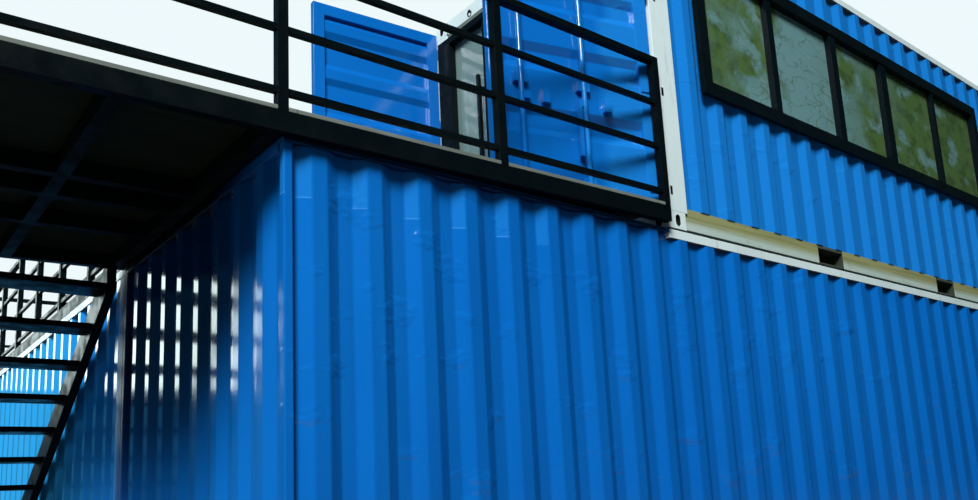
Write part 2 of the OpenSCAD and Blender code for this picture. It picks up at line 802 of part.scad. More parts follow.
module landing_end_railing() site() color(black) side_railing(guard_post - landing_len,
    deck_y0 + guard_post + rail_gap, [0, landing_run / 2, landing_run]);

// The wing's railing: its left side from the landing on, its end and its right side.
module wing_railing() site() color(black) {
    side_posts = [for (i = [0:wing_bays]) i * wing_run / wing_bays];
    end_x = guard_post + rail_gap;
    end_run = unit_w - 3 * guard_post - 2 * rail_gap;
    side_railing(guard_post, wing_rail_y, side_posts);
    side_railing(unit_w, deck_y1,
        [for (p = side_posts) p * (wing_run + wing_rail_y - deck_y1) / wing_run]);
    sloped_railing([end_x, end_x + end_run / 2, end_x + end_run], lower_d - guard_post,
        [board_top, board_top, board_top]);
}

/* Stair */

// Height of the line through the treads' back edges.
function tread_line(y) = deck_top - rise - (y - deck_y1) * stair_slope;

// A sloping band in the y, z plane between two heights above the tread line.
function band(y0, y1, low, high) = [[y0, tread_line(y0) + high], [y0, tread_line(y0) + low],
    [y1, tread_line(y1) + low], [y1, tread_line(y1) + high]];

module side_profile(x, width) translate([x, 0, 0]) rotate([90, 0, 90])
    linear_extrude(width) children();

stringer_low = stringer_up - stringer_v;
foot_y = deck_y1 + (deck_top - rise + stringer_low) / stair_slope;

module stair_stringers() site() color(black)
    for (x = [-landing_len, -stair_gap - stringer_w])
        side_profile(x, stringer_w) polygon([[deck_y1, tread_line(deck_y1) + stringer_up],
            [deck_y1, tread_line(deck_y1) + stringer_low], [foot_y, 0], [stair_end, 0],
            [stair_end, stringer_up]]);

module stair_treads() site() color(black)
    for (i = [1:risers - 1])
        block([landing_len - stair_gap - 2 * stringer_w, tread_d, tread_t],
            [-landing_len + stringer_w, deck_y1 + (i - 1) * going, deck_top - i * rise - tread_t]);

// The handrail's posts, counted in treads from the deck.
handrail_posts = [0.4, 5.4, 10.4];

// Handrail on the stair's open side, standing on the outer stringer.
module stair_handrail() site() color(black) {
    for (k = handrail_posts)
        side_profile(-landing_len, guard_post) polygon(band(deck_y1 + k * going,
            deck_y1 + k * going + guard_post, stringer_up, guard_h - top_rail_h / 2));
    side_profile(-landing_len, guard_post) polygon(
        band(deck_y1 + rail_gap, stair_end - going, guard_h - top_rail_h, guard_h));
}

lower_floor_frame();
lower_front_wall();
lower_rear_wall();
lower_end_walls();
lower_corner_posts();
lower_blue_rails();
lower_white_rail();
lower_roofs();
wing_walls();
wing_posts();
wing_top_rails();
bearing_plates();
upper_castings();
upper_posts();
upper_bottom_rails();
upper_rails();
fork_pockets();
upper_floor();
upper_roof();
wall_below_window();
wall_above_window();
walls_beside_window();
upper_rear_wall();
upper_right_wall();
window_frame();
window_glass();
near_door_leaf();
far_door_leaf();
near_lock_gear();
far_lock_gear();
door_hinges();
end_frame();
end_head_strip();
end_glass();
end_pull_handle();
deck_front_channel();
deck_frame();
deck_boards();
landing_panels();
landing_columns();
front_railing();
landing_end_railing();
wing_railing();
stair_stringers();
stair_treads();
stair_handrail();
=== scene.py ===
import json
import math

import bpy
from mathutils import Euler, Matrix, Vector


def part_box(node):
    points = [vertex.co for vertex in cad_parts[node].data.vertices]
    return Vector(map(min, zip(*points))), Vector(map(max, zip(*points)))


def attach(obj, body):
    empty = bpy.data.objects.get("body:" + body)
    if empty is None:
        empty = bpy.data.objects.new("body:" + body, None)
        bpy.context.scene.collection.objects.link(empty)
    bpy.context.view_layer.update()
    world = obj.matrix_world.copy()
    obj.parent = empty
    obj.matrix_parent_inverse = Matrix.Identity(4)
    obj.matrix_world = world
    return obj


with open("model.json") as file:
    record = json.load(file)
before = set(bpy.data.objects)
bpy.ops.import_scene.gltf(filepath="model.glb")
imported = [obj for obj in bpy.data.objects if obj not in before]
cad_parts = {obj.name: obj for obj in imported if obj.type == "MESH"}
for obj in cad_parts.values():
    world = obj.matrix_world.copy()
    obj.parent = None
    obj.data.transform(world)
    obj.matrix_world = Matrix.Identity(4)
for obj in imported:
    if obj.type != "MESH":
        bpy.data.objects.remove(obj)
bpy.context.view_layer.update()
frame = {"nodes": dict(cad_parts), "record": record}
nodes = frame["nodes"]

# The lower storey's front left corner, in metres from the frame's origin.
corner = Vector((-3.699, -4.218, 0.0))

# Sizes of the storeys in millimetres.
storey = {"terrace": 2640, "depth": 2438, "height": 2591}


def site(x, y, z):
    # A point given from the lower storey's corner, in millimetres.
    return corner + Vector((x, y, z)) / 1000


# Place and reach in metres, turn in degrees, lens in millimetres.
camera = {
    "place": (-5.195, -7.446, 0.980),
    "turn": (100.53, 2.775, -38.436),
    "lens": 30.6,
    "shiftY": 0.0911,
    "reach": 200,
}


def makeCamera():
    bpy.ops.object.camera_add(
        location=camera["place"],
        rotation=Euler([math.radians(a) for a in camera["turn"]], "XYZ"),
    )
    made = bpy.context.object
    made.name = "camera"
    made.data.lens = camera["lens"]
    made.data.shift_y = camera["shiftY"]
    made.data.clip_end = camera["reach"]
    bpy.context.scene.camera = made


# Daylight changes from the horizon to the zenith, and the colours that gloss mirrors change
# from front to rear. The bounds are parts of a ray's direction, from -1 to 1.
studio = {
    "horizonColor": (0.03, 0.035, 0.035, 1),
    "zenithColor": (0.72, 0.86, 1.0, 1),
    "daylightBounds": (0.25, 0.8),
    "daylightStrength": 0.40,
    "glossFront": (0.008, 0.02, 0.018, 1),
    "glossRear": (0.02, 0.12, 0.22, 1),
    "glossBounds": (-0.1, 0.5),
    "backdropColor": (0.85, 0.95, 0.97, 1),
}


def makeWorld():
    world = bpy.data.worlds.new("studio")
    bpy.context.scene.world = world
    world.use_nodes = True
    tree = world.node_tree
    tree.nodes.clear()
    link = tree.links.new
    out = tree.nodes.new("ShaderNodeOutputWorld")
    path = tree.nodes.new("ShaderNodeLightPath")
    coords = tree.nodes.new("ShaderNodeTexCoord")
    split = tree.nodes.new("ShaderNodeSeparateXYZ")
    link(coords.outputs["Generated"], split.inputs[0])

    def plain(color, strength=1.0):
        back = tree.nodes.new("ShaderNodeBackground")
        back.inputs["Color"].default_value = color
        back.inputs["Strength"].default_value = strength
        return back

    def graded(axis, bounds, first, last, strength=1.0):
        # A background that goes from one colour to another along an axis.
        ramp = tree.nodes.new("ShaderNodeMapRange")
        ramp.inputs["From Min"].default_value = bounds[0]
        ramp.inputs["From Max"].default_value = bounds[1]
        link(split.outputs[axis], ramp.inputs["Value"])
        mix = tree.nodes.new("ShaderNodeMix")
        mix.data_type = "RGBA"
        mix.inputs["A"].default_value = first
        mix.inputs["B"].default_value = last
        link(ramp.outputs["Result"], mix.inputs["Factor"])
        back = plain(first, strength)
        link(mix.outputs["Result"], back.inputs["Color"])
        return back

    def chosen(chooser, first, second):
        # The first shader where the chooser is 0, the second where it is 1.
        mix = tree.nodes.new("ShaderNodeMixShader")
        for source, socket in zip((chooser, first, second), mix.inputs):
            link(source, socket)
        return mix.outputs[0]

    daylight = graded("Z", studio["daylightBounds"], studio["horizonColor"],
                      studio["zenithColor"], studio["daylightStrength"])
    gloss = graded("Y", studio["glossBounds"], studio["glossFront"], studio["glossRear"])
    backdrop = plain(studio["backdropColor"])
    seen = tree.nodes.new("ShaderNodeMath")
    seen.operation = "MAXIMUM"
    link(path.outputs["Is Camera Ray"], seen.inputs[0])
    link(path.outputs["Is Transmission Ray"], seen.inputs[1])
    unseen = chosen(path.outputs["Is Glossy Ray"], daylight.outputs[0], gloss.outputs[0])
    link(chosen(seen.outputs[0], unseen, backdrop.outputs[0]), out.inputs["Surface"])


# Places and sizes in metres, power in watts.
lights = [
    {
        "name": "keyLight",
        "at": (-17.6, -18.6, 20),
        "aim": (0, -2, 2),
        "size": (9, 9),
        "power": 11800,
    },
    {
        "name": "dashLight",
        "at": (-7.8, 13, 6.3),
        "aim": (-3, -2, 2),
        "size": (6.2, 5),
        "power": 470,
        "color": (0.84, 1.0, 0.96),
    },
    {
        "name": "wingLight",
        "at": (-10, 5.5, 2),
        "aim": (-3.7, 0.5, 1),
        "size": (3, 3),
        "power": 200,
        "mirrored": False,
    },
    {
        "name": "backLight",
        "at": (14, 15, 13),
        "aim": (0, 0, 2),
        "size": (8, 8),
        "power": 3000,
    },
]


def makeLights():
    for spec in lights:
        bpy.ops.object.light_add(type="AREA", location=spec["at"])
        lamp = bpy.context.object
        lamp.name = spec["name"]
        lamp.data.shape = "RECTANGLE"
        lamp.data.size, lamp.data.size_y = spec["size"]
        lamp.data.energy = spec["power"]
        lamp.data.color = spec.get("color", (1, 1, 1))
        lamp.visible_glossy = spec.get("mirrored", True)
        aim = Vector(spec["aim"]) - Vector(spec["at"])
        lamp.rotation_euler = aim.to_track_quat("-Z", "Y").to_euler()


# Pale to the camera, and darker where it throws light back on the cabin.
floorLook = {
    "size": 160,
    "height": -0.002,
    "color": (0.22, 0.22, 0.22, 1),
    "glow": (0.56, 0.61, 0.63, 1),
    "bounceColor": (0.10, 0.10, 0.10, 1),
    "roughness": 0.9,
    "specular": 0.2,
}


def makeFloor():
    bpy.ops.mesh.primitive_plane_add(
        size=floorLook["size"], location=(0, 0, floorLook["height"])
    )
    floor = bpy.context.object
    floor.name = "floor"
    material = bpy.data.materials.new("paleFloor")
    material.use_nodes = True
    tree = material.node_tree
    link = tree.links.new
    shader = tree.nodes["Principled BSDF"]
    path = tree.nodes.new("ShaderNodeLightPath")
    mix = tree.nodes.new("ShaderNodeMix")
    mix.data_type = "RGBA"
    mix.inputs["A"].default_value = floorLook["bounceColor"]
    mix.inputs["B"].default_value = floorLook["color"]
    link(path.outputs["Is Camera Ray"], mix.inputs["Factor"])
    link(mix.outputs["Result"], shader.inputs["Base Color"])
    shader.inputs["Roughness"].default_value = floorLook["roughness"]
    shader.inputs["Specular IOR Level"].default_value = floorLook["specular"]
    shader.inputs["Emission Color"].default_value = floorLook["glow"]
    link(path.outputs["Is Camera Ray"], shader.inputs["Emission Strength"])
    floor.data.materials.append(material)


bpy.context.scene.view_settings.view_transform = "Standard"
makeCamera()
makeWorld()
makeLights()
makeFloor()
print("studio ready")


class Finish:
    # A Principled material with helpers that lay patches, zones and bumps on it.

    def __init__(self, name, color, sockets):
        self.material = bpy.data.materials.new(name)
        self.material.use_nodes = True
        self.tree = self.material.node_tree
        self.shader = self.tree.nodes["Principled BSDF"]
        self.coords = self.add("ShaderNodeTexCoord").outputs["Object"]
        self.color = color
        self.height = None
        self.set("Base Color", (*color, 1))
        for socket, value in sockets.items():
            self.set(socket, value)

    def add(self, kind, **values):
        made = self.tree.nodes.new(kind)
        for key, value in values.items():
            setattr(made, key, value)
        return made

    def set(self, socket, value):
        self.shader.inputs[socket].default_value = value

    def link(self, source, socket):
        self.tree.links.new(source, socket)

    def part(self, vector, axis):
        split = self.add("ShaderNodeSeparateXYZ")
        self.link(vector, split.inputs[0])
        return split.outputs[axis]

    def ramp(self, value, start, full, low=0.0, high=1.0):
        # Low at the start and high at the full value, even in between and level beyond.
        made = self.add("ShaderNodeMapRange")
        made.inputs["From Min"].default_value = start
        made.inputs["From Max"].default_value = full
        made.inputs["To Min"].default_value = low
        made.inputs["To Max"].default_value = high
        self.link(value, made.inputs["Value"])
        return made.outputs["Result"]

    def times(self, first, second):
        made = self.add("ShaderNodeMath", operation="MULTIPLY")
        for socket, value in zip(made.inputs, (first, second)):
            if isinstance(value, (int, float)):
                socket.default_value = value
            else:
                self.link(value, socket)
        return made.outputs[0]

    def cloud(self, scale, stretch=(1, 1, 1), detail=4, start=0.4, full=0.6):
        # Noise in object coordinates, cut to a soft mask from 0 to 1.
        mapping = self.add("ShaderNodeMapping")
        mapping.inputs["Scale"].default_value = stretch
        self.link(self.coords, mapping.inputs["Vector"])
        noise = self.add("ShaderNodeTexNoise")
        noise.inputs["Scale"].default_value = scale
        noise.inputs["Detail"].default_value = detail
        self.link(mapping.outputs["Vector"], noise.inputs["Vector"])
        return self.ramp(noise.outputs["Fac"], start, full)

    def mask(self, axis, start, full):
        # 0 up to the start and 1 past the full value, in metres along an axis.
        return self.ramp(self.part(self.coords, axis), start, full)

    def zone(self, *bounds):
        # 1 where the masks of all the bounds are 1.
        made = self.mask(*bounds[0])
        for bound in bounds[1:]:
            made = self.times(made, self.mask(*bound))
        return made

    def inside(self, middle, half, soft=0.002):
        # 1 inside a box given by its middle and half sizes, 0 outside it.
        away = self.add("ShaderNodeVectorMath", operation="SUBTRACT")
        self.link(self.coords, away.inputs[0])
        away.inputs[1].default_value = middle
        size = self.add("ShaderNodeVectorMath", operation="ABSOLUTE")
        self.link(away.outputs[0], size.inputs[0])
        total = 1.0
        for axis, reach in zip("XYZ", half):
            side = self.ramp(self.part(size.outputs[0], axis), reach + soft, reach)
            total = self.times(side, total)
        return total

    def joints(self, axis, pitch, width):
        # 1 on thin lines at an even pitch along an axis.
        wave = self.add("ShaderNodeMath", operation="PINGPONG")
        self.link(self.part(self.coords, axis), wave.inputs[0])
        wave.inputs[1].default_value = pitch / 2
        line = self.add("ShaderNodeMath", operation="LESS_THAN")
        self.link(wave.outputs[0], line.inputs[0])
        line.inputs[1].default_value = width / 2
        return line.outputs[0]

    def facing(self, axis, start, full):
        # A mask by the part of the surface's normal along an axis.
        normal = self.add("ShaderNodeNewGeometry").outputs["Normal"]
        return self.ramp(self.part(normal, axis), start, full)

    def tint(self, mask, color, amount=1.0):
        # Lays a colour over what is there, through a mask.
        base = self.shader.inputs["Base Color"]
        mix = self.add("ShaderNodeMix", data_type="RGBA")
        self.link(self.times(mask, amount), mix.inputs["Factor"])
        if base.links:
            self.link(base.links[0].from_socket, mix.inputs["A"])
        else:
            mix.inputs["A"].default_value = (*self.color, 1)
        mix.inputs["B"].default_value = (*color, 1)
        self.link(mix.outputs["Result"], base)

    def patch(self, color, amount, within=None, **cloud):
        # A colour in soft patches, everywhere or within a mask.
        mask = self.cloud(**cloud)
        if within:
            mask = self.times(within, mask)
        self.tint(mask, color, amount)

    def uneven(self, roughness, **cloud):
        # Roughness that drifts between two values.
        drift = self.ramp(self.cloud(**cloud), 0, 1, *roughness)
        self.link(drift, self.shader.inputs["Roughness"])

    def duller(self, mask, amount):
        # Adds to the uneven roughness, through a mask.
        total = self.add("ShaderNodeMath", operation="ADD")
        roughness = self.shader.inputs["Roughness"]
        self.link(roughness.links[0].from_socket, total.inputs[0])
        self.link(self.times(mask, amount), total.inputs[1])
        self.link(total.outputs[0], roughness)

    def bump(self, value, distance):
        # Lays bumps on those that are there, with their depth in metres.
        made = self.add("ShaderNodeBump")
        made.inputs["Strength"].default_value = 1.0
        made.inputs["Distance"].default_value = distance
        self.link(value, made.inputs["Height"])
        if self.height:
            self.link(self.height, made.inputs["Normal"])
        self.height = made.outputs["Normal"]
        self.link(self.height, self.shader.inputs["Normal"])

    def grain(self, distance, scale, stretch=(1, 1, 1), detail=3):
        # Bumps from plain noise.
        self.bump(self.cloud(scale, stretch, detail, 0, 1), distance)


def mixed(name, look):
    # A finish from its dictionary. With a drift, the roughness has two values.
    finish = Finish(name, look["color"], look.get("sockets", {}))
    for patch in look["patches"]:
        finish.patch(**patch)
    if "drift" in look:
        finish.uneven(look["roughness"], **look["drift"])
    else:
        finish.set("Roughness", look["roughness"])
    if "grain" in look:
        finish.grain(**look["grain"])
    return finish


# Painted shade on undersides starts and is full where normals point this far down.
undersideBounds = ("Z", -0.6, -0.9)

blueLook = {
    "color": (0.0022, 0.122, 0.46),
    "patches": (
        {"color": (0.004, 0.155, 0.54), "amount": 0.6,
         "scale": 0.7, "stretch": (1, 1, 0.35), "detail": 3, "start": 0.42, "full": 0.68},
        {"color": (0.0018, 0.094, 0.36), "amount": 0.45,
         "scale": 2.2, "stretch": (2.4, 2.4, 0.25), "start": 0.5, "full": 0.75},
        {"color": (0.02, 0.15, 0.40), "amount": 0.2,
         "scale": 26, "stretch": (1, 1, 0.5), "detail": 5, "start": 0.68, "full": 0.8},
    ),
    "roughness": (0.05, 0.16),
    "drift": {"scale": 3, "stretch": (1, 1, 0.4), "start": 0.35, "full": 0.7},
}

# Where each zone of the blue walls starts and is full, in metres along an axis.
blueZones = {
    "wing": ("Y", -1.72, -1.70),
    "wingNearDeck": ("Y", 0.3, -0.9),
    "frontBlock": ("Y", -1.70, -1.74),
    "lowerStorey": ("Z", 2.60, 2.58),
    "upperUnit": ("Z", 2.58, 2.80),
    "frontFace": ("Y", -4.10, -4.12),
    "frontFoot": ("Z", 2.0, 0.4),
    "topRail": ("Z", 2.55, 2.57),
    "leftPart": ("X", -1.05, -1.1),
    "leftFace": ("X", -3.60, -3.65),
    "underDeck": ("Z", 0.9, 1.9),
    "closeUnderDeck": ("Z", 2.50, 2.54),
    "behindCorner": ("Y", -4.1, -3.3),
    "nearCorner": ("Y", -3.52, -3.86),
    "wideFlat": ("Y", -1.992, -1.988),
    "wideFlatEnd": ("Y", -1.656, -1.660),
}

# Tints of the zones in the order in which they are laid, most of them painted light and shade.
wallTintsAndPaintedLight = (
    # Painted sunlight: the wing's lower storey lighter and greener.
    {"zones": ("wing", "lowerStorey"), "color": (0.026, 0.36, 0.76), "amount": 0.9},
    # Painted light, bluer, where the wing's end wall lies in shade nearer the deck.
    {"zones": ("wing", "lowerStorey", "leftFace", "wingNearDeck"),
     "color": (0.008, 0.23, 0.78), "amount": 0.9},
    # Painted light: the upper unit's front lighter, as the deck does not shade it.
    {"zones": ("frontFace", "upperUnit"), "color": (0.010, 0.20, 0.61), "amount": 0.75},
    {"zones": ("frontFace", "frontFoot"), "color": (0.0018, 0.09, 0.37), "amount": 0.45},
    # Painted shadow of the deck's channel on the lower storey's top rail.
    {"zones": ("frontFace", "lowerStorey", "topRail", "leftPart"),
     "color": (0.0005, 0.008, 0.026), "amount": 0.9},
)
# Painted shade on the end wall under the landing, darkest close under it.
paintedShadeUnderDeck = (
    {"zones": ("leftFace", "underDeck", "behindCorner", "frontBlock"),
     "color": (0.0004, 0.015, 0.06), "amount": 0.9},
    {"zones": ("leftFace", "underDeck", "behindCorner", "frontBlock", "closeUnderDeck"),
     "color": (0.0003, 0.002, 0.006), "amount": 1.0},
)
dullZones = (
    {"zones": ("leftFace", "wideFlat", "wideFlatEnd"), "amount": 0.35},
    {"zones": ("leftFace", "nearCorner"), "amount": 0.04},
)

# A welded joint in the front wall, in metres, with painted light above it and a painted
# highlight along it. Both show only on the left slopes of the folds, which are found by their
# normals.
weldSeam = {
    "bottom": 2.316,
    "top": 2.326,
    "soft": 0.003,
    "slopes": ("X", -0.25, -0.45),
    "litBandBounds": ("X", -1.8, -2.2),
    "litBandColor": (0.012, 0.20, 0.60),
    "highlightBounds": ("X", -2.30, -2.31),
    "highlightColor": (0.05, 0.27, 0.68),
    "amount": 0.5,
}

# Depths in metres.
wallBumps = {
    "waves": {"distance": 0.003, "scale": 1.4, "stretch": (1, 1, 0.5), "detail": 2},
    "dents": {"scale": 3.4, "stretch": (1, 1, 1.6), "detail": 3, "start": 0.60, "full": 0.80},
    "dentDepth": 0.007,
    "paintGrain": {"distance": 0.0001, "scale": 70},
}


def bluePaint():
    paint = mixed("bluePaint", blueLook)

    def within(*zones):
        return paint.zone(*[blueZones[name] for name in zones])

    def tintZones(tints):
        for spec in tints:
            paint.tint(within(*spec["zones"]), spec["color"], spec["amount"])

    tintZones(wallTintsAndPaintedLight)
    bottom, top, soft = weldSeam["bottom"], weldSeam["top"], weldSeam["soft"]
    slopes = paint.times(within("frontFace", "lowerStorey"), paint.facing(*weldSeam["slopes"]))
    # Painted light above the seam on the left slopes.
    litBand = paint.zone(weldSeam["litBandBounds"], ("Z", bottom, bottom + soft))
    litBand = paint.times(slopes, litBand)
    paint.tint(litBand, weldSeam["litBandColor"], weldSeam["amount"])
    # A painted highlight along the seam.
    line = paint.zone(("Z", top, top - soft), weldSeam["highlightBounds"])
    paint.tint(paint.times(litBand, line), weldSeam["highlightColor"], weldSeam["amount"])
    # Painted shade on the end wall under the landing.
    tintZones(paintedShadeUnderDeck)
    for spec in dullZones:
        paint.duller(within(*spec["zones"]), spec["amount"])
    paint.grain(**wallBumps["waves"])
    dents = paint.times(within("frontFace"), paint.cloud(**wallBumps["dents"]))
    paint.bump(dents, wallBumps["dentDepth"])
    paint.grain(**wallBumps["paintGrain"])
    return paint


whiteLook = {
    "color": (0.66, 0.80, 0.80),
    "patches": (
        {"color": (0.55, 0.67, 0.66), "amount": 0.6,
         "scale": 1.6, "stretch": (1, 1, 0.3), "start": 0.45, "full": 0.75},
        {"color": (0.34, 0.32, 0.24), "amount": 0.35,
         "scale": 14, "stretch": (1.5, 1.5, 0.3), "detail": 5, "start": 0.62, "full": 0.74},
    ),
    # Painted shade on the undersides.
    "underside": {"color": (0.010, 0.016, 0.016), "amount": 0.9},
    "roughness": (0.36, 0.55),
    "drift": {"scale": 6, "detail": 3},
    "grain": {"distance": 0.0004, "scale": 60},
}

blackLook = {
    "color": (0.0012, 0.0038, 0.005),
    "sockets": {"Specular IOR Level": 0.07},
    "patches": (
        {"color": (0.0022, 0.006, 0.0075), "amount": 0.6,
         "scale": 3, "start": 0.45, "full": 0.7},
        {"color": (0.007, 0.010, 0.011), "amount": 0.3,
         "scale": 18, "detail": 5, "start": 0.66, "full": 0.78},
    ),
    # Painted shade on the undersides.
    "underside": {"color": (0.0006, 0.0009, 0.0008), "amount": 0.95},
    "roughness": (0.34, 0.55),
    "drift": {"scale": 8},
    "grain": {"distance": 0.0005, "scale": 90},
}


def framePaint(name, look):
    # Paint with painted shade on its undersides.
    paint = mixed(name, look)
    paint.tint(paint.facing(*undersideBounds), **look["underside"])
    return paint


railLook = {
    "color": (0.42, 0.55, 0.49),
    "patches": (
        {"color": (0.50, 0.60, 0.55), "amount": 0.5,
         "scale": 1.2, "stretch": (1, 1, 0.4), "start": 0.45, "full": 0.7},
    ),
    "roughness": 0.45,
    "grain": {"distance": 0.0004, "scale": 50},
}

# The side rail's olive band with its streaks, painted shade with a painted reflection of the
# warm ground, and a painted shadow in the gap under it. Bounds in metres.
railBands = {
    "bandBounds": ("Z", 2.650, 2.700),
    "band": {"color": (0.28, 0.295, 0.115), "amount": 0.95},
    "streaks": {"color": (0.19, 0.21, 0.085), "amount": 0.7,
                "scale": 3, "stretch": (0.5, 1, 22), "start": 0.45, "full": 0.6},
    "dirt": {"color": (0.22, 0.25, 0.16), "amount": 0.35,
             "scale": 9, "stretch": (0.6, 1, 1.5), "detail": 5, "start": 0.6, "full": 0.72},
    "gapBounds": ("Z", 2.618, 2.612),
    "gapShadowColor": (0.006, 0.011, 0.010),
}


def railPaint():
    paint = mixed("railPaint", railLook)
    # Painted shade and painted ground reflection on the rail's upper part.
    band = paint.mask(*railBands["bandBounds"])
    paint.tint(band, **railBands["band"])
    paint.patch(within=band, **railBands["streaks"])
    paint.patch(**railBands["dirt"])
    # Painted shadow where the gap between the storeys lies.
    paint.tint(paint.mask(*railBands["gapBounds"]), railBands["gapShadowColor"])
    return paint


stripLook = {
    "color": (0.13, 0.17, 0.15),
    "patches": (
        {"color": (0.09, 0.12, 0.10), "amount": 0.6,
         "scale": 4, "stretch": (1, 0.4, 1), "start": 0.45, "full": 0.7},
    ),
    "roughness": 0.5,
    "grain": {"distance": 0.0004, "scale": 50},
}

# The upper unit in metres. Deeper in than the skin of a piece, its openings get painted shade.
upperBox = {"middle": (1.970, -2.999, 3.8985), "half": (3.029, 1.219, 1.2955)}


def deepInside(paint, skin, soft, color):
    half = [size - skin for size in upperBox["half"]]
    paint.tint(paint.inside(upperBox["middle"], half, soft), color)


# Painted shade inside the castings' holes.
castingHoleShade = {"skin": 0.004, "soft": 0.002, "color": (0.004, 0.007, 0.007)}


def castingPaint():
    paint = framePaint("castingPaint", whiteLook)
    deepInside(paint, **castingHoleShade)
    return paint


pocketLook = {
    "color": (0.30, 0.36, 0.27),
    "patches": (),
    "roughness": 0.5,
    "grain": {"distance": 0.0004, "scale": 50},
}
# Painted shade deep inside the fork pockets.
pocketShade = {"skin": 0.016, "soft": 0.03, "color": (0.030, 0.042, 0.030)}
pocketDirt = {"color": (0.06, 0.07, 0.045), "amount": 0.5,
              "scale": 7, "start": 0.5, "full": 0.7}


def pocketPaint():
    paint = mixed("pocketPaint", pocketLook)
    deepInside(paint, **pocketShade)
    paint.patch(**pocketDirt)
    return paint


roofLook = {
    "color": (0.42, 0.45, 0.46),
    "patches": (
        {"color": (0.30, 0.31, 0.30), "amount": 0.7,
         "scale": 0.9, "detail": 5, "start": 0.42, "full": 0.68},
        {"color": (0.22, 0.17, 0.12), "amount": 0.4,
         "scale": 9, "detail": 5, "start": 0.6, "full": 0.75},
    ),
    "roughness": 0.5,
    "grain": {"distance": 0.0006, "scale": 45},
}

aluminiumLook = {
    "color": (0.002, 0.0055, 0.0075),
    "patches": (
        {"color": (0.004, 0.009, 0.011), "amount": 0.6,
         "scale": 5, "detail": 3, "start": 0.5, "full": 0.75},
    ),
    "drift": {"scale": 11, "detail": 3},
    "grain": {"distance": 0.0001, "scale": 200, "detail": 2},
}


def blackAluminium(name, roughness, specular):
    sockets = {"Specular IOR Level": specular}
    return mixed(name, dict(aluminiumLook, roughness=roughness, sockets=sockets))


# Painted reflections of leaves give the panes their green.
windowLook = {
    "color": (0.075, 0.15, 0.042),
    "sockets": {"Transmission Weight": 0.1},
    "patches": (
        {"color": (0.038, 0.075, 0.024), "amount": 0.7,
         "scale": 7, "stretch": (1, 1, 1.2), "detail": 6, "start": 0.48, "full": 0.60},
    ),
    "roughness": (0.02, 0.06),
    "drift": {"scale": 3, "detail": 3},
}

# Painted reflections of sky and leaves: pale mottling, densest in the middle panes, under thin
# lines. Bounds in metres.
windowReflections = {
    "middleBounds": (("X", -0.5, 0.2), ("X", 2.8, 1.0)),
    "middle": {"color": (0.15, 0.31, 0.33), "amount": 0.95,
               "scale": 1.7, "detail": 5, "start": 0.40, "full": 0.50},
    "spots": {"color": (0.15, 0.31, 0.33), "amount": 0.75,
              "scale": 2.6, "stretch": (1, 1, 1.3), "detail": 6, "start": 0.55, "full": 0.62},
    "lineScales": (1.9, 3.1),
    "lineShape": {"stretch": (1, 1, 1.8), "detail": 3},
    "lineSides": ({"start": 0.488, "full": 0.496}, {"start": 0.512, "full": 0.504}),
    "line": {"color": (0.075, 0.13, 0.075), "amount": 0.55},
}


def windowGlass():
    pane = mixed("windowGlass", windowLook)
    middle = pane.zone(*windowReflections["middleBounds"])
    pane.patch(within=middle, **windowReflections["middle"])
    pane.patch(**windowReflections["spots"])
    for scale in windowReflections["lineScales"]:
        # A line runs where the noise lies between its two sides.
        above, below = [
            pane.cloud(scale, **windowReflections["lineShape"], **side)
            for side in windowReflections["lineSides"]
        ]
        pane.tint(pane.times(above, below), **windowReflections["line"])
    return pane


# Glass behind a fine screen, seen through in part.
endGlassLook = {
    "color": (0.20, 0.34, 0.32),
    "sockets": {"Alpha": 0.5},
    "patches": (
        {"color": (0.27, 0.42, 0.42), "amount": 0.7,
         "scale": 1.1, "stretch": (1, 1, 0.7), "detail": 3, "start": 0.4, "full": 0.62},
        {"color": (0.13, 0.21, 0.18), "amount": 0.35,
         "scale": 160, "detail": 2, "start": 0.5, "full": 0.6},
    ),
    "roughness": (0.03, 0.08),
    "drift": {"scale": 3, "detail": 3},
}

woodLook = {
    "roughness": 0.7,
    "stretch": (0.3, 3, 3),
    "wornShade": 0.75,
    "veins": {"amount": 0.7, "scale": 9, "detail": 6, "start": 0.4, "full": 0.65},
    "worn": {"amount": 0.6, "scale": 1.3, "detail": 3, "start": 0.45, "full": 0.7},
    "grain": {"distance": 0.001, "scale": 24, "detail": 6},
}


def wood(name, light, dark, sockets):
    stretch = woodLook["stretch"]
    worn = tuple(part * woodLook["wornShade"] for part in light)
    return mixed(name, {
        "color": light,
        "sockets": sockets,
        "patches": (
            dict(woodLook["veins"], color=dark, stretch=stretch),
            dict(woodLook["worn"], color=worn),
        ),
        "roughness": woodLook["roughness"],
        "grain": dict(woodLook["grain"], stretch=stretch),
    })


deckLook = {"light": (0.165, 0.20, 0.175), "dark": (0.085, 0.105, 0.09), "sockets": {}}

# Sheets of the deck and the joints between them, in metres.
deckSheet = {"size": 1.22, "joint": 0.004, "jointColor": (0.03, 0.03, 0.024)}


def deckBoard():
    finish = wood("deckBoard", **deckLook)
    for axis in "XY":
        joint = finish.joints(axis, deckSheet["size"], deckSheet["joint"])
        finish.tint(joint, deckSheet["jointColor"])
    return finish


soffitLook = {
    "light": (0.013, 0.020, 0.008),
    "dark": (0.008, 0.012, 0.005),
    "sockets": {"Specular IOR Level": 0.12},
}
floorBoardLook = {"light": (0.22, 0.15, 0.09), "dark": (0.12, 0.08, 0.05), "sockets": {}}

finishes = {
    "blue_paint": bluePaint(),
    "white_paint": framePaint("whitePaint", whiteLook),
    "rail_paint": railPaint(),
    "roof_paint": mixed("roofPaint", roofLook),
    "black_paint": framePaint("blackPaint", blackLook),
    "black_aluminium": blackAluminium("blackAluminium", (0.27, 0.41), 0.06),
    "window_glass": windowGlass(),
    "end_glass": mixed("endGlass", endGlassLook),
    "deck_board": deckBoard(),
    "soffit_panel": wood("soffitPanel", **soffitLook),
    "floor_board": wood("floorBoard", **floorBoardLook),
}

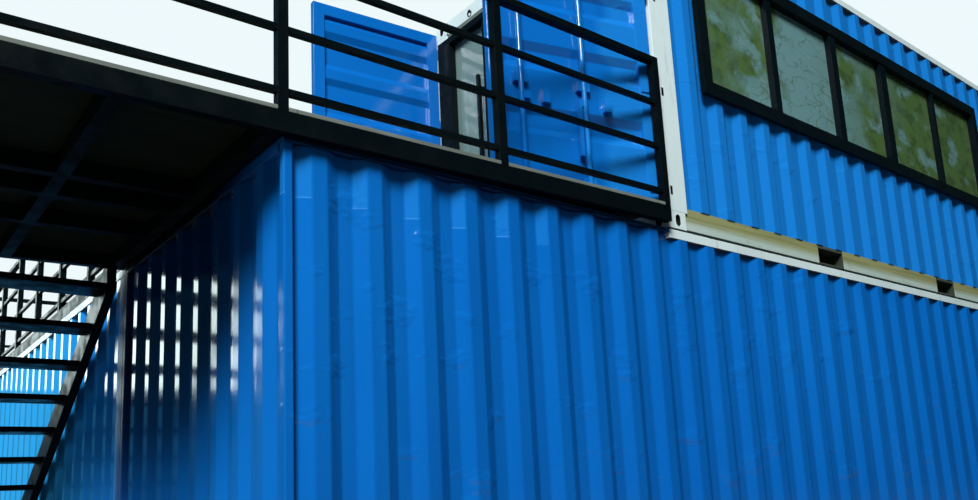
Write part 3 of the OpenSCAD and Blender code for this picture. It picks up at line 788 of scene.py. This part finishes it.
# Nodes whose own finish differs from their slot's.
ownFinish = {
    "upper_castings": castingPaint(),
    "fork_pockets": pocketPaint(),
    "end_head_strip": mixed("stripPaint", stripLook),
    "end_frame": blackAluminium("mattAluminium", (0.52, 0.66), 0.07),
}
print("finishes mixed")

# Bend radius in millimetres for the edges of each finish. Glass keeps its edges.
edges = {
    "blue_paint": 7,
    "white_paint": 3,
    "rail_paint": 1.5,
    "roof_paint": 4,
    "black_paint": 2.5,
    "black_aluminium": 1.5,
    "deck_board": 1.5,
    "soffit_panel": 1,
    "floor_board": 1,
}

# Nodes with a radius of their own.
ownEdges = {
    "near_lock_gear": 2,
    "far_lock_gear": 2,
    "door_hinges": 2,
    "lower_blue_rails": 2,
    "wall_below_window": 2,
    "walls_beside_window": 2,
    "wall_above_window": 2,
    "near_door_leaf": 4,
    "far_door_leaf": 3,
}

# The weld distance is in metres and the angles are in degrees.
softening = {"weld": 0.0001, "flatAngle": 0.3, "foldAngle": 20, "segments": 2}


def slotOf(node):
    for part in frame["record"]["subparts"]:
        if part["node"] == node:
            return part["material_slot"]
    raise ValueError(node)


def dressNode(name, node):
    slot = slotOf(name)
    node.data.materials.clear()
    node.data.materials.append(ownFinish.get(name, finishes[slot]).material)
    if slot not in edges:
        return
    weld = node.modifiers.new("weld", "WELD")
    weld.merge_threshold = softening["weld"]
    flat = node.modifiers.new("flat", "DECIMATE")
    flat.decimate_type = "DISSOLVE"
    flat.angle_limit = math.radians(softening["flatAngle"])
    bevel = node.modifiers.new("bend", "BEVEL")
    bevel.width = ownEdges.get(name, edges[slot]) / 1000
    bevel.segments = softening["segments"]
    bevel.limit_method = "ANGLE"
    bevel.angle_limit = math.radians(softening["foldAngle"])
    normals = node.modifiers.new("normals", "WEIGHTED_NORMAL")
    normals.keep_sharp = True


for name, node in nodes.items():
    dressNode(name, node)
print("nodes dressed")


def clearSelection():
    bpy.ops.object.select_all(action="DESELECT")


def select(pieces):
    # Selects some pieces only, and makes the first one active.
    clearSelection()
    for piece in pieces:
        piece.select_set(True)
    bpy.context.view_layer.objects.active = pieces[0]


boardEdge = {"bend": 0.003, "segments": 2}  # bend radius in metres


def board(low, high):
    # A bevelled board between two corners.
    clearSelection()
    low, high = Vector(low), Vector(high)
    bpy.ops.mesh.primitive_cube_add(size=1, location=(low + high) / 2)
    piece = bpy.context.object
    piece.scale = high - low
    bpy.ops.object.transform_apply(location=True, rotation=True, scale=True)
    bevel = piece.modifiers.new("bend", "BEVEL")
    bevel.width = boardEdge["bend"]
    bevel.segments = boardEdge["segments"]
    bpy.ops.object.modifier_apply(modifier="bend")
    return piece


def joined(name, pieces):
    select(pieces)
    bpy.ops.object.join()
    pieces[0].name = name
    return pieces[0]


def settle(piece, finish):
    piece.data.materials.clear()
    piece.data.materials.append(finish.material)
    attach(piece, "root")


# Plain sheets that line the upper room, in metres.
lining = {
    "thick": 0.012,
    "sheet": 1.22,
    "gap": 0.004,
    "clear": 0.001,
    "fromEnd": 0.208,
    "belowCeiling": 0.02,
    "besideWalls": 0.002,
    "wallColor": (0.36, 0.45, 0.41),
    "wallShade": (0.27, 0.34, 0.31),
    "ceilingColor": (0.80, 0.84, 0.86),
    "ceilingShade": (0.70, 0.75, 0.77),
}
liningShade = {"amount": 0.7, "scale": 1.5, "start": 0.42, "full": 0.66}
liningLook = {
    "roughness": (0.5, 0.7),
    "drift": {"scale": 8},
    "grain": {"distance": 0.0004, "scale": 40},
}


def liningPaint(name, color, shade):
    patches = (dict(liningShade, color=shade),)
    return mixed(name, dict(liningLook, color=color, patches=patches))


def cuts(start, end):
    # Sheets of lining side by side between two places.
    count = math.ceil((end - start) / lining["sheet"])
    step = (end - start) / count
    gap = lining["gap"]
    return [(start + i * step, start + (i + 1) * step - gap) for i in range(count)]


def makeLining():
    thick, clear = lining["thick"], lining["clear"]
    left = corner.x + storey["terrace"] / 1000 + lining["fromEnd"]
    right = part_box("upper_right_wall")[0][0] - clear
    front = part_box("wall_below_window")[1][1] + clear
    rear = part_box("upper_rear_wall")[0][1] - clear
    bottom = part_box("upper_floor")[1][2] + clear
    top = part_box("upper_roof")[0][2] - clear
    windowLow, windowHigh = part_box("window_frame")
    wallTop = top - lining["belowCeiling"]
    sheets = []
    for x0, x1 in cuts(left, right):
        sheets.append(board((x0, rear - thick, bottom), (x1, rear, wallTop)))
        atWindow = x1 > windowLow[0] and x0 < windowHigh[0]
        frontTop = windowLow[2] if atWindow else wallTop
        sheets.append(board((x0, front, bottom), (x1, front + thick, frontTop)))
    for x0, x1 in cuts(windowLow[0], windowHigh[0]):
        sheets.append(board((x0, front, windowHigh[2]), (x1, front + thick, wallTop)))
    inset = thick + lining["besideWalls"]
    for y0, y1 in cuts(front + inset, rear - inset):
        sheets.append(board((right - thick, y0, bottom), (right, y1, wallTop)))
    walls = joined("wallLining", sheets)
    finish = liningPaint("wallLining", lining["wallColor"], lining["wallShade"])
    settle(walls, finish)

    sheets = []
    for x0, x1 in cuts(left, right):
        sheets.append(board((x0, front, top - thick), (x1, rear, top)))
    ceiling = joined("ceilingLining", sheets)
    finish = liningPaint("ceilingLining", lining["ceilingColor"], lining["ceilingShade"])
    settle(ceiling, finish)


makeLining()
print("lining made")

# Black plates on the door posts, one at each hinge, painted shade for the lug recesses, in
# millimetres.
hingeSlotShades = {
    "x": (2688, 2712),
    "heights": (270, 960, 1650, 2340),
    "tall": 62,
    "deep": 6,
    "proud": 1,
}


def makeHingeSlots():
    left, right = hingeSlotShades["x"]
    slots = []
    for face, out in ((0, -1), (storey["depth"], 1)):
        ends = (face - out * hingeSlotShades["deep"], face + out * hingeSlotShades["proud"])
        for height in hingeSlotShades["heights"]:
            bottom = storey["height"] + height - hingeSlotShades["tall"] / 2
            top = bottom + hingeSlotShades["tall"]
            slots.append(board(site(left, min(ends), bottom), site(right, max(ends), top)))
    # Black plates as painted shade in the lug recesses.
    settle(joined("hingeSlotShades", slots), finishes["black_paint"])


makeHingeSlots()
print("hinge slots made")

# Lashing rings on the glazed end's header, in millimetres and degrees. A staple's low and
# high corners are given from the top of its ring.
rings = {
    "x": 2645,
    "y": (493, 1945),
    "z": 5110,
    "radius": 24,
    "wire": 5,
    "segments": (28, 10),
    "lean": 80,
    "smoothUnder": 35,
    "stapleLow": (-8, -10, -10),
    "stapleHigh": (4, 10, 12),
}


def makeRings():
    made = []
    for y in rings["y"]:
        clearSelection()
        bpy.ops.mesh.primitive_torus_add(
            location=site(rings["x"], y, rings["z"]),
            rotation=(0, math.radians(rings["lean"]), 0),
            major_radius=rings["radius"] / 1000,
            minor_radius=rings["wire"] / 1000,
            major_segments=rings["segments"][0],
            minor_segments=rings["segments"][1],
        )
        made.append(bpy.context.object)
        bpy.ops.object.transform_apply(location=True, rotation=True, scale=True)
        top = (rings["x"], y, rings["z"] + rings["radius"])
        low, high = [
            site(*(at + away for at, away in zip(top, rings[end])))
            for end in ("stapleLow", "stapleHigh")
        ]
        made.append(board(low, high))
    piece = joined("lashingRings", made)
    select([piece])
    bpy.ops.object.shade_smooth_by_angle(angle=math.radians(rings["smoothUnder"]))
    settle(piece, finishes["black_paint"])


makeRings()
print("lashing rings made")
